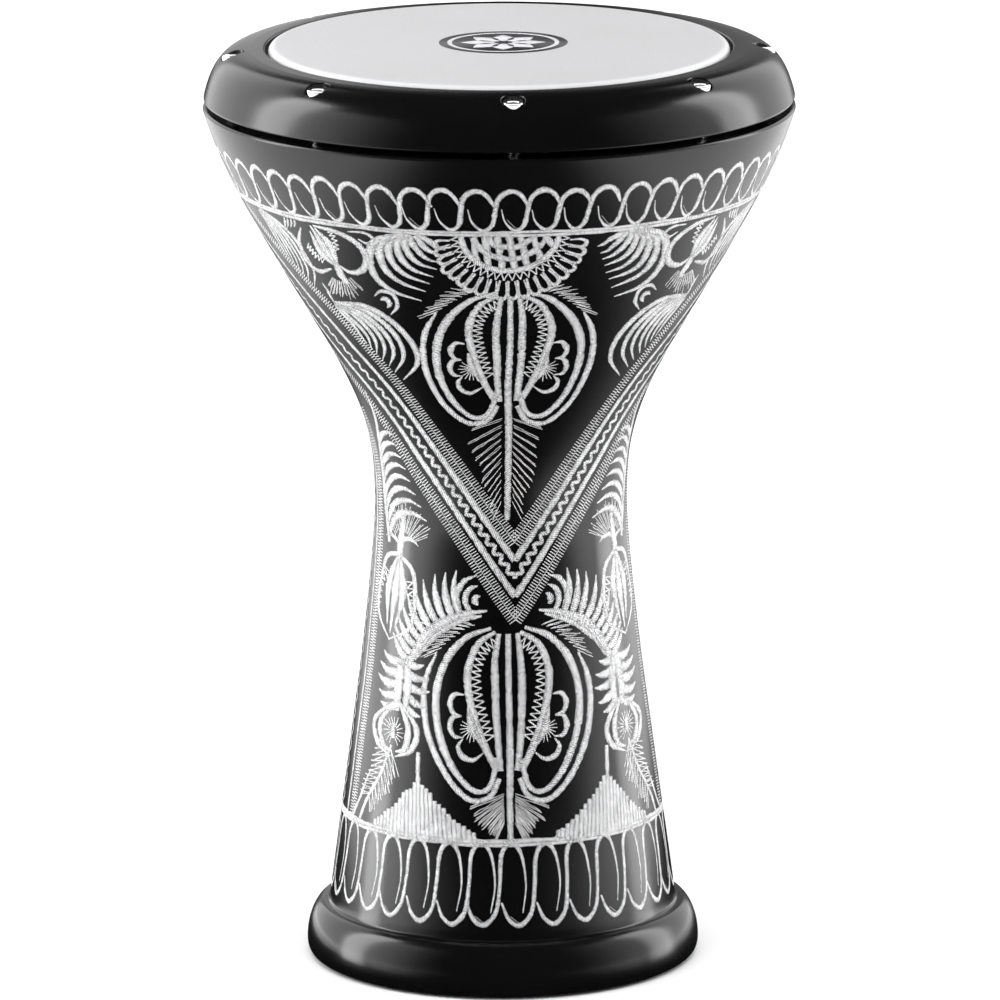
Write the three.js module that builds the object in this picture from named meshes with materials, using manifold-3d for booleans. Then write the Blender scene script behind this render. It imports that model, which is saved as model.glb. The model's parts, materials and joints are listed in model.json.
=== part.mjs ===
// Large Egyptian darbuka (goblet drum): one-piece cast aluminium shell, a tuning collar
// held down by eight socket-head screws, and a white film head with its metal hoop.
// Millimetres, +Z up. The origin is the centre of the foot's rest face, -Y is the front.
import * as THREE from "three";
import { mergeVertices } from "three/addons/utils/BufferGeometryUtils.js";
import Module from "manifold-3d";

const wasm = await Module();
wasm.setup();

// Whole drum
const HEIGHT = 438;
const ROUND_STEPS = 48; // facets round the drum
const SMALL_STEPS = 16; // facets round a screw, washer or insert
const GAP = 0.3; // between pieces that touch

// Foot bead
const FOOT_RADIUS = 93;
const FOOT_WIDEST_Z = 7;
const FOOT_LOWER_FULLNESS = 5; // lengths of the handles that round it, below its widest,
const FOOT_UPPER_FULLNESS = 10; // above it,
const FOOT_SHOULDER_FULLNESS = 6; // and where it meets the wall
const REST_OUTER_RADIUS = 86;
const REST_INNER_RADIUS = 80;
const MOUTH_CHAMFER = { width: 1.5, height: 3 };

// Shell wall, from the foot up: outer radius and height of each station. Lean is the wall's
// angle from upright, and below and above are the lengths of the curve's handles.
const WALL = 4;
const FOOT_NECK = { radius: 82.35, z: 26 };
const STEM_TOP = { radius: 67.98, z: 132.75, above: 20 };
const THROAT = { radius: 59.6, z: 217, below: 14, above: 25 };
const BOWL = { radius: 82.87, z: 300, lean: 0.531, below: 46, above: 65 };
const LIP = { radius: 138.8, z: 408.5, lean: 0.293, below: 31 };
const SHELF_Z = 410; // top of the inward flange that carries the screws
const SHELF_UNDERSIDE_Z = 401;
const BOSS_RADIUS = 7;
const BOSS_BOTTOM_Z = 393;

// Bearing edge that the head is stretched over
const BEARING_INNER_RADIUS = 103.4;
const BEARING_OUTER_RADIUS = 107.2;
const BEARING_TOP_Z = 437.3;
const BEARING_ROUNDING = 2.6;

// Head
const FILM_RADIUS = 108;
const FILM_THICKNESS = 0.4;
const FILM_ROUNDING = 3.2;
const FILM_SKIRT_Z = 420.6;
const FILM_TUCK_RADIUS = 113.5;
const HOOP_INNER_RADIUS = 108.8;
const HOOP_OUTER_RADIUS = 115.8;
const HOOP_BOTTOM_Z = 421.4;
const HOOP_TOP_Z = 428;
const HOOP_CHAMFER = 0.8;

// Tuning collar
const COLLAR_INNER_RADIUS = 109.5;
const COLLAR_TOP_Z = 436.9;
const COLLAR_BEND_RADIUS = 117.5;
const COLLAR_OUTER_RADIUS = 138.4;
const COLLAR_BOTTOM_Z = 412.8;
const COLLAR_SHOULDER_RADIUS = 116.2; // stands round the hoop
const COLLAR_WEB_BOTTOM_Z = 419;
const COLLAR_SKIRT_INNER_RADIUS = 134.6;
const COLLAR_EDGE = 0.8; // its small corner chamfers
const COLLAR_FACE_HANDLES = { across: 11, up: 16.6, lean: 4 };

// M6 socket-head screws, washers and thread inserts
const SCREW_COUNT = 8;
const SCREW_CIRCLE_RADIUS = 124.5;
const FIRST_SCREW_ANGLE = THREE.MathUtils.degToRad(-87.1);
const THREAD_RADIUS = 3;
const SCREW_HEAD_RADIUS = 5;
const SCREW_HEAD_HEIGHT = 6;
const SCREW_LENGTH = 30;
const SCREW_SEAT_Z = 428; // underside of the screw's head
const SOCKET_ACROSS_FLATS = 5;
const SOCKET_DEPTH = 3;
const SCREW_HOLE_RADIUS = 3.4;
const COUNTERBORE_RADIUS = 5.5;
const SCREW_EDGE = { head: 0.6, tip: 0.8 }; // chamfers
const WASHER_THICKNESS = 1;
const WASHER_RADIUS = 5.2;
const INSERT_RADIUS = 4.5;
const INSERT_BORE_RADIUS = 4.8;
const INSERT_BOTTOM_Z = 394;

const washerTopZ = SCREW_SEAT_Z - GAP;
const counterboreZ = washerTopZ - WASHER_THICKNESS - GAP;

// Materials
const metal = (color, roughness, metalness) =>
  new THREE.MeshStandardMaterial({ color, roughness, metalness });
const blackLacquer = metal(0x141416, 0.28, 0.3);
const bareAluminium = metal(0xc9cacc, 0.35, 1);
const chrome = metal(0xe6e6e8, 0.12, 1);
const zincSteel = metal(0xa9acb0, 0.35, 1);
const brass = metal(0xb08d4a, 0.35, 1);
const whiteFilm = metal(0xdcdde0, 0.4, 0);

// A closed outline of (radius, z) turned about the Z axis.
function turned(outline, steps = ROUND_STEPS) {
  const isClosed = outline[0].distanceTo(outline.at(-1)) < 1e-9;
  const closed = isClosed ? outline : [...outline, outline[0]];
  return new THREE.LatheGeometry(closed, steps).rotateX(Math.PI / 2);
}

function ring(innerRadius, outerRadius, bottomZ, topZ, steps) {
  const corners = [
    [innerRadius, bottomZ],
    [outerRadius, bottomZ],
    [outerRadius, topZ],
    [innerRadius, topZ],
  ];
  return turned(corners.map(([r, z]) => new THREE.Vector2(r, z)), steps);
}

function prism(radius, bottomZ, topZ, sides = SMALL_STEPS) {
  const geometry = new THREE.CylinderGeometry(radius, radius, topZ - bottomZ, sides);
  return geometry.rotateX(Math.PI / 2).translate(0, 0, (bottomZ + topZ) / 2);
}

// Points along a cubic curve from one (radius, z) station to the next, ends included.
function bend(start, startHandle, endHandle, end, steps) {
  const at = ([r, z]) => new THREE.Vector2(r, z);
  const curve = new THREE.CubicBezierCurve(at(start), at(startHandle), at(endHandle), at(end));
  return curve.getPoints(steps);
}

function arc(centreRadius, centreZ, radius, fromDegrees, toDegrees, steps) {
  const from = THREE.MathUtils.degToRad(fromDegrees);
  const to = THREE.MathUtils.degToRad(toDegrees);
  const curve = new THREE.EllipseCurve(centreRadius, centreZ, radius, radius, from, to, to < from);
  return curve.getPoints(steps);
}

const point = (radius, z) => new THREE.Vector2(radius, z);

function solid(geometry) {
  const bare = geometry.clone();
  bare.deleteAttribute("normal");
  bare.deleteAttribute("uv");
  const merged = mergeVertices(bare, 1e-4);
  const triVerts = new Uint32Array(merged.index.array);
  const vertProperties = merged.attributes.position.array;
  return new wasm.Manifold(new wasm.Mesh({ numProp: 3, vertProperties, triVerts }));
}

function geometryOf(manifold) {
  const mesh = manifold.getMesh();
  const geometry = new THREE.BufferGeometry();
  geometry.setAttribute("position", new THREE.BufferAttribute(mesh.vertProperties, 3));
  geometry.setIndex(new THREE.BufferAttribute(mesh.triVerts, 1));
  return geometry;
}

// Where each screw stands, as angles about the drum's axis.
const screwAngles = Array.from(
  { length: SCREW_COUNT },
  (_, i) => FIRST_SCREW_ANGLE + (i * 2 * Math.PI) / SCREW_COUNT,
);

function atScrew(geometry, angle) {
  const x = SCREW_CIRCLE_RADIUS * Math.cos(angle);
  const y = SCREW_CIRCLE_RADIUS * Math.sin(angle);
  return geometry.clone().translate(x, y, 0);
}

// The same tool joined to, or cut from, a body at every screw.
const joinedAtScrews = (body, tool) =>
  screwAngles.reduce((whole, angle) => whole.add(solid(atScrew(tool, angle))), body);
const cutAtScrews = (body, tool) =>
  screwAngles.reduce((whole, angle) => whole.subtract(solid(atScrew(tool, angle))), body);

// Outer wall from the foot's neck to the lip: straight stem, throat, cone and rim.
function outerWall() {
  const stemSlope = (FOOT_NECK.radius - STEM_TOP.radius) / (STEM_TOP.z - FOOT_NECK.z);
  const along = (station, distance) => [
    station.radius + Math.sin(station.lean) * distance,
    station.z + Math.cos(station.lean) * distance,
  ];
  const stem = bend(
    [STEM_TOP.radius, STEM_TOP.z],
    [STEM_TOP.radius - stemSlope * STEM_TOP.above, STEM_TOP.z + STEM_TOP.above],
    [THROAT.radius, THROAT.z - THROAT.below],
    [THROAT.radius, THROAT.z],
    4,
  );
  const throat = bend(
    [THROAT.radius, THROAT.z],
    [THROAT.radius, THROAT.z + THROAT.above],
    along(BOWL, -BOWL.below),
    [BOWL.radius, BOWL.z],
    7,
  );
  const bowl = bend(
    [BOWL.radius, BOWL.z],
    along(BOWL, BOWL.above),
    along(LIP, -LIP.below),
    [LIP.radius, LIP.z],
    7,
  );
  return [point(FOOT_NECK.radius, FOOT_NECK.z), ...stem, ...throat.slice(1), ...bowl.slice(1)];
}

// The same wall's inner face, one wall thickness in along the normal, from the top down.
function innerWall(outer) {
  const inner = outer.map((here, i) => {
    const before = outer[Math.max(i - 1, 0)];
    const after = outer[Math.min(i + 1, outer.length - 1)];
    const run = after.clone().sub(before).normalize();
    return point(here.x - run.y * WALL, here.y + run.x * WALL);
  });
  return inner.filter((p) => p.y < SHELF_UNDERSIDE_Z - WALL).reverse();
}

function shell() {
  const outer = outerWall();
  const inner = innerWall(outer);
  const foot = [
    ...bend(
      [REST_OUTER_RADIUS, 0],
      [REST_OUTER_RADIUS + FOOT_LOWER_FULLNESS, 0],
      [FOOT_RADIUS, FOOT_WIDEST_Z - FOOT_LOWER_FULLNESS],
      [FOOT_RADIUS, FOOT_WIDEST_Z],
      4,
    ),
    ...bend(
      [FOOT_RADIUS, FOOT_WIDEST_Z],
      [FOOT_RADIUS, FOOT_WIDEST_Z + FOOT_UPPER_FULLNESS],
      [FOOT_NECK.radius + FOOT_SHOULDER_FULLNESS, FOOT_NECK.z],
      [FOOT_NECK.radius, FOOT_NECK.z],
      6,
    ).slice(1, -1),
  ];
  const lipRounding = SHELF_Z - LIP.z;
  const shelf = [
    point(LIP.radius - lipRounding, SHELF_Z),
    point(BEARING_OUTER_RADIUS, SHELF_Z),
  ];
  const edge = arc(
    BEARING_OUTER_RADIUS - BEARING_ROUNDING,
    BEARING_TOP_Z - BEARING_ROUNDING,
    BEARING_ROUNDING,
    0,
    90,
    3,
  );
  const ringInside = [
    point(BEARING_INNER_RADIUS, BEARING_TOP_Z - BEARING_ROUNDING / 2),
    point(BEARING_INNER_RADIUS, SHELF_UNDERSIDE_Z),
    point(inner[0].x + WALL / 2, SHELF_UNDERSIDE_Z),
  ];
  const mouth = [
    point(REST_INNER_RADIUS - MOUTH_CHAMFER.width, MOUTH_CHAMFER.height),
    point(REST_INNER_RADIUS, 0),
  ];
  const profile = [...foot, ...outer, ...shelf, ...edge, ...ringInside, ...inner, ...mouth];
  const cast = solid(turned(profile));
  const bossed = joinedAtScrews(cast, prism(BOSS_RADIUS, BOSS_BOTTOM_Z, SHELF_UNDERSIDE_Z + 2));
  const bore = prism(INSERT_BORE_RADIUS, BOSS_BOTTOM_Z - 1, SHELF_Z + 1);
  return geometryOf(cutAtScrews(bossed, bore));
}

function collar() {
  const faceTopZ = COLLAR_TOP_Z - 0.3;
  const faceBottomZ = COLLAR_BOTTOM_Z + 1.4;
  const handles = COLLAR_FACE_HANDLES;
  const face = bend(
    [COLLAR_BEND_RADIUS, faceTopZ],
    [COLLAR_BEND_RADIUS + handles.across, faceTopZ - handles.across / 10],
    [COLLAR_OUTER_RADIUS - handles.lean, faceBottomZ + handles.up],
    [COLLAR_OUTER_RADIUS, faceBottomZ],
    8,
  );
  const profile = [
    point(COLLAR_INNER_RADIUS, COLLAR_TOP_Z - COLLAR_EDGE),
    point(COLLAR_INNER_RADIUS, HOOP_TOP_Z + GAP),
    point(COLLAR_SHOULDER_RADIUS, HOOP_TOP_Z + GAP),
    point(COLLAR_SHOULDER_RADIUS, COLLAR_WEB_BOTTOM_Z),
    point(COLLAR_SKIRT_INNER_RADIUS - 3, COLLAR_WEB_BOTTOM_Z),
    point(COLLAR_SKIRT_INNER_RADIUS, COLLAR_BOTTOM_Z),
    point(COLLAR_OUTER_RADIUS - COLLAR_EDGE, COLLAR_BOTTOM_Z),
    ...face.reverse(),
    point(COLLAR_INNER_RADIUS + COLLAR_EDGE, COLLAR_TOP_Z),
  ];
  const turnedRing = solid(turned(profile));
  const counterbored = cutAtScrews(turnedRing, prism(COUNTERBORE_RADIUS, counterboreZ, HEIGHT + 5));
  const hole = prism(SCREW_HOLE_RADIUS, COLLAR_BOTTOM_Z - 5, counterboreZ + 1);
  return geometryOf(cutAtScrews(counterbored, hole));
}

// Disc with a rounded edge, a skirt beside the bearing edge, and a hem tucked under the hoop.
function headFilm() {
  const innerRadius = FILM_RADIUS - FILM_THICKNESS;
  const roundingRadius = FILM_RADIUS - FILM_ROUNDING;
  const roundingZ = HEIGHT - FILM_ROUNDING;
  return turned([
    point(0, HEIGHT - FILM_THICKNESS),
    ...arc(roundingRadius, roundingZ, FILM_ROUNDING - FILM_THICKNESS, 90, 0, 3),
    point(innerRadius, FILM_SKIRT_Z - FILM_THICKNESS),
    point(FILM_TUCK_RADIUS, FILM_SKIRT_Z - FILM_THICKNESS),
    point(FILM_TUCK_RADIUS, FILM_SKIRT_Z),
    point(FILM_RADIUS, FILM_SKIRT_Z),
    ...arc(roundingRadius, roundingZ, FILM_ROUNDING, 0, 90, 3),
    point(0, HEIGHT),
    point(0, HEIGHT - FILM_THICKNESS),
  ]);
}

function headHoop() {
  return turned([
    point(HOOP_INNER_RADIUS, HOOP_BOTTOM_Z),
    point(HOOP_OUTER_RADIUS - HOOP_CHAMFER, HOOP_BOTTOM_Z),
    point(HOOP_OUTER_RADIUS, HOOP_BOTTOM_Z + HOOP_CHAMFER),
    point(HOOP_OUTER_RADIUS, HOOP_TOP_Z - HOOP_CHAMFER),
    point(HOOP_OUTER_RADIUS - HOOP_CHAMFER, HOOP_TOP_Z),
    point(HOOP_INNER_RADIUS, HOOP_TOP_Z),
  ]);
}

function tuningScrew() {
  const headTopZ = SCREW_SEAT_Z + SCREW_HEAD_HEIGHT;
  const tipZ = SCREW_SEAT_Z - SCREW_LENGTH;
  const body = turned(
    [
      point(0, tipZ),
      point(THREAD_RADIUS - SCREW_EDGE.tip, tipZ),
      point(THREAD_RADIUS, tipZ + SCREW_EDGE.tip),
      point(THREAD_RADIUS, SCREW_SEAT_Z),
      point(SCREW_HEAD_RADIUS, SCREW_SEAT_Z),
      point(SCREW_HEAD_RADIUS, headTopZ - SCREW_EDGE.head),
      point(SCREW_HEAD_RADIUS - SCREW_EDGE.head, headTopZ),
      point(0, headTopZ),
      point(0, tipZ),
    ],
    SMALL_STEPS,
  );
  const socketRadius = SOCKET_ACROSS_FLATS / Math.sqrt(3);
  const socket = prism(socketRadius, headTopZ - SOCKET_DEPTH, headTopZ + 1, 6);
  return geometryOf(solid(body).subtract(solid(socket)));
}

const drum = new THREE.Group();

function place(name, geometry, material, angle) {
  const mesh = new THREE.Mesh(geometry, material);
  mesh.name = name;
  if (angle !== undefined) {
    mesh.position.set(
      SCREW_CIRCLE_RADIUS * Math.cos(angle),
      SCREW_CIRCLE_RADIUS * Math.sin(angle),
      0,
    );
  }
  drum.add(mesh);
}

place("goblet_shell", shell(), blackLacquer);
place("tuning_collar", collar(), blackLacquer);
place("head_film", headFilm(), whiteFilm);
place("head_hoop", headHoop(), bareAluminium);

const screwShape = tuningScrew();
const washerShape = ring(
  SCREW_HOLE_RADIUS,
  WASHER_RADIUS,
  washerTopZ - WASHER_THICKNESS,
  washerTopZ,
  SMALL_STEPS,
);
const insertShape = ring(
  SCREW_HOLE_RADIUS,
  INSERT_RADIUS,
  INSERT_BOTTOM_Z,
  SHELF_Z - GAP,
  SMALL_STEPS,
);
screwAngles.forEach((angle, i) => {
  place(`tuning_screw_${i + 1}`, screwShape, chrome, angle);
  place(`screw_washer_${i + 1}`, washerShape, zincSteel, angle);
  place(`thread_insert_${i + 1}`, insertShape, brass, angle);
});

export default drum;
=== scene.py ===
"""Looks of a large engraved darbuka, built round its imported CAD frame.

Lengths in the outline and ornament tables are millimetres and become metres in the mesh
helpers. +Z is up and -Y is the front.
"""
import json
import math

import bpy
import numpy as np

from mathutils import Matrix, Vector


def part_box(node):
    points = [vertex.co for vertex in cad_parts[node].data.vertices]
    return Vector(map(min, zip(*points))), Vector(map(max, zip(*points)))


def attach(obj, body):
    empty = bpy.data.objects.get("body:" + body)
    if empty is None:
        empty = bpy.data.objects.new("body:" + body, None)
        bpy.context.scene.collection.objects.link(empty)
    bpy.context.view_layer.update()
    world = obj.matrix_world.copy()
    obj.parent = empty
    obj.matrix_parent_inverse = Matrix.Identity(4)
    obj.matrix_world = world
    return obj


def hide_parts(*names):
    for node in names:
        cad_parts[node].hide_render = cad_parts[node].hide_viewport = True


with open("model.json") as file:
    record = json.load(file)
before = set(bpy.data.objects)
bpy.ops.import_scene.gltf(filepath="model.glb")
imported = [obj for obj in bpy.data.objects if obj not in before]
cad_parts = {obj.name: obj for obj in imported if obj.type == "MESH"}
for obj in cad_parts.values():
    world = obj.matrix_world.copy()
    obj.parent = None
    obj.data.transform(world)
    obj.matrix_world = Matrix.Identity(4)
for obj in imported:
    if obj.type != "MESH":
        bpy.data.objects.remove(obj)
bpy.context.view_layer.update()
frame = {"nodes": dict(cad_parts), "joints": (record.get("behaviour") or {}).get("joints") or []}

MM = 0.001


def box_mm(node):
    """Low and high corners of a frame node, in mm."""
    low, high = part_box(node)
    return [v / MM for v in low], [v / MM for v in high]


# Sizes read from the frame
LIP_RADIUS = box_mm("goblet_shell")[1][0]
(_, _, COLLAR_BOTTOM), (COLLAR_RADIUS, _, COLLAR_TOP) = box_mm("tuning_collar")
(_, _, FILM_HEM), (FILM_HEM_RADIUS, _, FILM_TOP) = box_mm("head_film")
SCREW_TIP, SCREW_TOP = [corner[2] for corner in box_mm("tuning_screw_1")]
WASHER_BOTTOM = box_mm("screw_washer_1")[0][2]
SCREWS = [  # body, node, and the axis in mm
    (j["child"], "tuning_" + j["child"], j["pos_m"][0] / MM, j["pos_m"][1] / MM)
    for j in frame["joints"]
    if j["type"] == "hinge"
]


# ---------------------------------------------------------------- outlines of (radius, height)


def bend(start, start_handle, end_handle, end, steps):
    """Points along a cubic curve, without its last one."""
    t = np.linspace(0, 1, steps, endpoint=False)[:, None]
    a, b, c, d = (np.array(v, float) for v in (start, start_handle, end_handle, end))
    return (1 - t) ** 3 * a + 3 * t * (1 - t) ** 2 * b + 3 * t * t * (1 - t) * c + t**3 * d


def line(start, end, steps):
    """Points from start towards end, without the end."""
    t = np.linspace(0, 1, steps, endpoint=False)[:, None]
    return np.array(start, float) * (1 - t) + np.array(end, float) * t


def lines(corners, steps):
    """Points along straight runs between corners, in as many steps as each one is given."""
    return np.vstack([line(*run) for run in zip(corners, corners[1:], steps)])


def arc(centre, radius, from_degrees, to_degrees, steps):
    """Points along part of a circle, with its last one."""
    a = np.radians(np.linspace(from_degrees, to_degrees, steps + 1))
    return np.stack([centre[0] + radius * np.cos(a), centre[1] + radius * np.sin(a)], 1)


# Stations of the shell's outer wall, from the foot's neck to the lip
NECK = (82.35, 26.0)
STEM_TOP = (67.98, 132.75)
THROAT = (59.6, 217.0)
BOWL = (82.87, 300.0)
BOWL_LEAN = 0.531
LIP = (LIP_RADIUS, 408.5)
LIP_LEAN = 0.293
WALL = 4.0
SHELF_TOP = 410.0
SHELF_UNDERSIDE = 401.0
FOOT_RADIUS = 93.0
BEARING_INNER = 103.4
BEARING_OUTER = 107.2
FILM_RADIUS = 108.0
COLLAR_INNER = 109.5
HOOP_ROOM_RADIUS = 116.2
HOOP_ROOM_TOP = 428.3
FLANGE_UNDERSIDE = 419.0
# Radii of the screws' features
BOSS_RADIUS = 7.0
INSERT_BORE = 4.8
CLEARANCE_HOLE = 3.4
COUNTERBORE = 5.5
SCREW_HEAD = 5.0
SCREW_SHANK = 2.95


def along(station, lean, distance):
    """The place at a distance from a station, up a line that leans outward by an angle."""
    return (station[0] + math.sin(lean) * distance, station[1] + math.cos(lean) * distance)


def outer_wall(steps):
    """The wall's outer face, going up: straight stem, throat, cone and rim."""
    slope = (NECK[0] - STEM_TOP[0]) / (STEM_TOP[1] - NECK[1])
    above_stem = (STEM_TOP[0] - slope * 20, STEM_TOP[1] + 20)
    return np.vstack([
        line(NECK, STEM_TOP, steps),
        bend(STEM_TOP, above_stem, (THROAT[0], THROAT[1] - 14), THROAT, steps),
        bend(THROAT, (THROAT[0], THROAT[1] + 25), along(BOWL, BOWL_LEAN, -46), BOWL, steps),
        bend(BOWL, along(BOWL, BOWL_LEAN, 65), along(LIP, LIP_LEAN, -31), LIP, steps),
        [LIP],
    ])


WALL_TABLE = outer_wall(80)


def wall_radius(z):
    return np.interp(z, WALL_TABLE[:, 1], WALL_TABLE[:, 0])


def wall_slope(z):
    """How much the wall widens per mm of height."""
    return wall_radius(z + 0.5) - wall_radius(z - 0.5)


def wall_stretch(z):
    """Length of wall per mm of height."""
    return np.sqrt(1 + wall_slope(z) ** 2)


# ---------------------------------------------------------------- mesh helpers


def new_object(name, verts, faces, material):
    """A smooth-shaded object from vertices in mm."""
    mesh = bpy.data.meshes.new(name)
    mesh.from_pydata((np.asarray(verts, float) * MM).tolist(), [], faces)
    mesh.update()
    mesh.shade_smooth()
    mesh.materials.append(material)
    obj = bpy.data.objects.new(name, mesh)
    bpy.context.scene.collection.objects.link(obj)
    return obj


def turned(name, rows, material, steps=256, centre=(0, 0), closed=True):
    """Rows of (radius, height) round a vertical axis. Either may be one number or one per step.

    A row of radius 0 is a single point on the axis. A closed outline joins its last row to its
    first, unless both are points on the axis.
    """
    angles = np.linspace(0, 2 * math.pi, steps, endpoint=False)
    verts = []
    rings = []
    for radius, z in rows:
        if np.ndim(radius) == 0 and radius < 1e-6:
            rings.append([len(verts)])
            verts.append((centre[0], centre[1], float(z)))
            continue
        rings.append(list(range(len(verts), len(verts) + steps)))
        x = centre[0] + radius * np.cos(angles)
        y = centre[1] + radius * np.sin(angles)
        verts += list(zip(x, y, np.broadcast_to(z, steps)))
    pairs = list(zip(rings, rings[1:]))
    if closed and not (len(rings[0]) == 1 and len(rings[-1]) == 1):
        pairs.append((rings[-1], rings[0]))
    faces = []
    for below, above in pairs:
        for i in range(steps):
            j = (i + 1) % steps
            if len(below) == 1:
                faces.append((below[0], above[j], above[i]))
            elif len(above) == 1:
                faces.append((below[i], below[j], above[0]))
            else:
                faces.append((below[i], below[j], above[j], above[i]))
    return new_object(name, verts, faces, material)


def apply_modifiers(obj):
    depsgraph = bpy.context.evaluated_depsgraph_get()
    mesh = bpy.data.meshes.new_from_object(obj.evaluated_get(depsgraph))
    obj.modifiers.clear()
    obj.data = mesh


def combine(obj, tools, operation):
    """Joins or cuts obj with each tool in turn. The tools are used up."""
    for tool in tools:
        modifier = obj.modifiers.new("combine", "BOOLEAN")
        modifier.operation = operation
        modifier.solver = "EXACT"
        modifier.object = tool
        apply_modifiers(obj)
        bpy.data.objects.remove(tool)


def shade(obj, sharp_degrees=35):
    """Smooth shading with creases, weighted so that large faces stay flat."""
    obj.data.set_sharp_from_angle(angle=math.radians(sharp_degrees))
    modifier = obj.modifiers.new("weighted", "WEIGHTED_NORMAL")
    modifier.keep_sharp = True
    apply_modifiers(obj)


# ---------------------------------------------------------------- materials


class Nodes:
    """A material's node tree, with short calls for the nodes used here."""

    def __init__(self, name):
        self.material = bpy.data.materials.new(name)
        self.material.use_nodes = True
        self.tree = self.material.node_tree
        self.shader = self.tree.nodes["Principled BSDF"]
        self.place = self.add("TexCoord").outputs["Object"]

    def add(self, kind, **values):
        node = self.tree.nodes.new("ShaderNode" + kind)
        for key, value in values.items():
            setattr(node, key, value)
        return node

    def plug(self, value, socket):
        if isinstance(value, (int, float, tuple)):
            socket.default_value = value
        else:
            self.tree.links.new(value, socket)

    def noise(self, scale, detail=3.0):
        node = self.add("TexNoise")
        node.inputs["Scale"].default_value = scale
        node.inputs["Detail"].default_value = detail
        self.plug(self.place, node.inputs["Vector"])
        return node.outputs["Fac"]

    def attribute(self, name):
        return self.add("Attribute", attribute_name=name).outputs["Fac"]

    def math(self, operation, a, b=0.0):
        """A Math node's result, from numbers or other nodes' results."""
        node = self.add("Math", operation=operation)
        self.plug(a, node.inputs[0])
        self.plug(b, node.inputs[1])
        return node.outputs[0]

    def plus(self, a, b):
        return self.math("ADD", a, b)

    def times(self, a, b):
        return self.math("MULTIPLY", a, b)

    def spread(self, factor, low, high, start=0.3, end=0.7):
        """A number that goes from low to high as the factor goes from start to end."""
        node = self.add("MapRange")
        for name, value in zip(("Value", "From Min", "From Max", "To Min", "To Max"),
                               (factor, start, end, low, high)):
            self.plug(value, node.inputs[name])
        return node.outputs["Result"]

    def ramp(self, factor, *stops):
        """A colour between stops of (position, (red, green, blue))."""
        node = self.add("ValToRGB")
        elements = node.color_ramp.elements
        while len(elements) < len(stops):
            elements.new(0.5)
        for element, (position, colour) in zip(elements, stops):
            element.position = position
            element.color = (*colour, 1)
        self.plug(factor, node.inputs["Fac"])
        return node.outputs["Color"]

    def bump(self, height, strength, distance):
        node = self.add("Bump")
        node.inputs["Strength"].default_value = strength
        node.inputs["Distance"].default_value = distance
        self.plug(height, node.inputs["Height"])
        self.plug(node.outputs["Normal"], self.shader.inputs["Normal"])

    def set(self, **values):
        for key, value in values.items():
            self.plug(value, self.shader.inputs[key.replace("_", " ")])


def black_lacquer():
    """Gloss black stoved lacquer: orange peel, a faint haze of handling, and dust nibs."""
    n = Nodes("black_lacquer")
    haze = n.noise(9, 5)
    nib = n.noise(1900, 1)
    film = n.ramp(haze, (0.3, (0.0020, 0.0020, 0.0023)), (0.7, (0.0036, 0.0036, 0.0040)))
    mix = n.add("Mix", data_type="RGBA")
    n.plug(n.spread(nib, 0.0, 0.6, 0.76, 0.82), mix.inputs[0])
    n.plug(film, mix.inputs[6])
    n.plug((0.05, 0.05, 0.052, 1), mix.inputs[7])
    n.set(Base_Color=mix.outputs[2], Roughness=n.spread(haze, 0.17, 0.24), IOR=1.5)
    n.bump(n.noise(380, 2), 0.06, 0.0004)
    return n.material


GRAVER_STEP = 1.05  # mm along a stroke from one ridge to the next
GRAVER_SLANT = 0.7  # how far a ridge runs along the stroke for each mm across it


def cut_aluminium():
    """Wriggle-cut aluminium: slanting ridges left by the walked graver, with painted shade darkening each
    stroke towards its rims.
    """
    n = Nodes("cut_aluminium")
    grit = n.noise(1300, 3)
    patch = n.noise(170, 3)
    # Share of the way out to a stroke's rim: the mask for the painted shade below.
    rim = n.attribute("rim")
    slant = n.times(n.attribute("across"), GRAVER_SLANT)
    step = n.plus(n.plus(n.attribute("along"), slant), n.times(grit, 0.5))
    ridges = n.math("SINE", n.times(step, 2 * math.pi / GRAVER_STEP))
    cut = n.plus(n.times(ridges, 0.2), n.times(grit, 1.3))
    cut = n.plus(cut, n.times(n.plus(patch, -0.8), 0.5))
    # Painted shade: each stroke's colour darkens towards its rims, where its rounded cross section turns
    # away from the light.
    tone_with_painted_shade = n.math("SUBTRACT", cut, n.times(n.times(rim, rim), 0.42))
    shades = [(0.10, (0.10, 0.10, 0.105)), (0.40, (0.62, 0.62, 0.63)), (0.66, (0.98, 0.98, 0.98))]
    n.set(
        Base_Color=n.ramp(tone_with_painted_shade, *shades),
        Metallic=n.spread(patch, 0.15, 0.45),
        Roughness=n.spread(grit, 0.4, 0.6),
    )
    n.bump(n.plus(ridges, n.times(grit, 1.5)), 0.6, 0.0001)
    return n.material


def white_film():
    """White polyester drum film: satin and faintly cloudy, with a painted highlight that whitens it where
    its edge is rolled.
    """
    n = Nodes("white_film")
    grain = n.noise(900, 2)
    split = n.add("SeparateXYZ")
    n.plug(n.place, split.inputs[0])
    x, y, _ = split.outputs
    reach = n.math("SQRT", n.plus(n.times(x, x), n.times(y, y)))
    # Painted highlight: the colour whitens over the outer few mm, where the rolled edge catches the light.
    edge = n.spread(reach, 0.0, 1.0, (FILM_RADIUS - 4.5) * MM, (FILM_RADIUS - 0.8) * MM)
    # cloud mixes the film's random cloudiness with the painted highlight of the rolled edge.
    cloud = n.plus(n.times(n.noise(14, 4), 0.5), n.times(edge, 0.7))
    field = [(0.15, (0.495, 0.495, 0.503)), (0.38, (0.52, 0.52, 0.53)), (0.9, (0.68, 0.68, 0.69))]
    n.set(Base_Color=n.ramp(cloud, *field), Roughness=n.spread(grain, 0.36, 0.48), IOR=1.57)
    n.bump(grain, 0.08, 0.0002)
    return n.material


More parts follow.
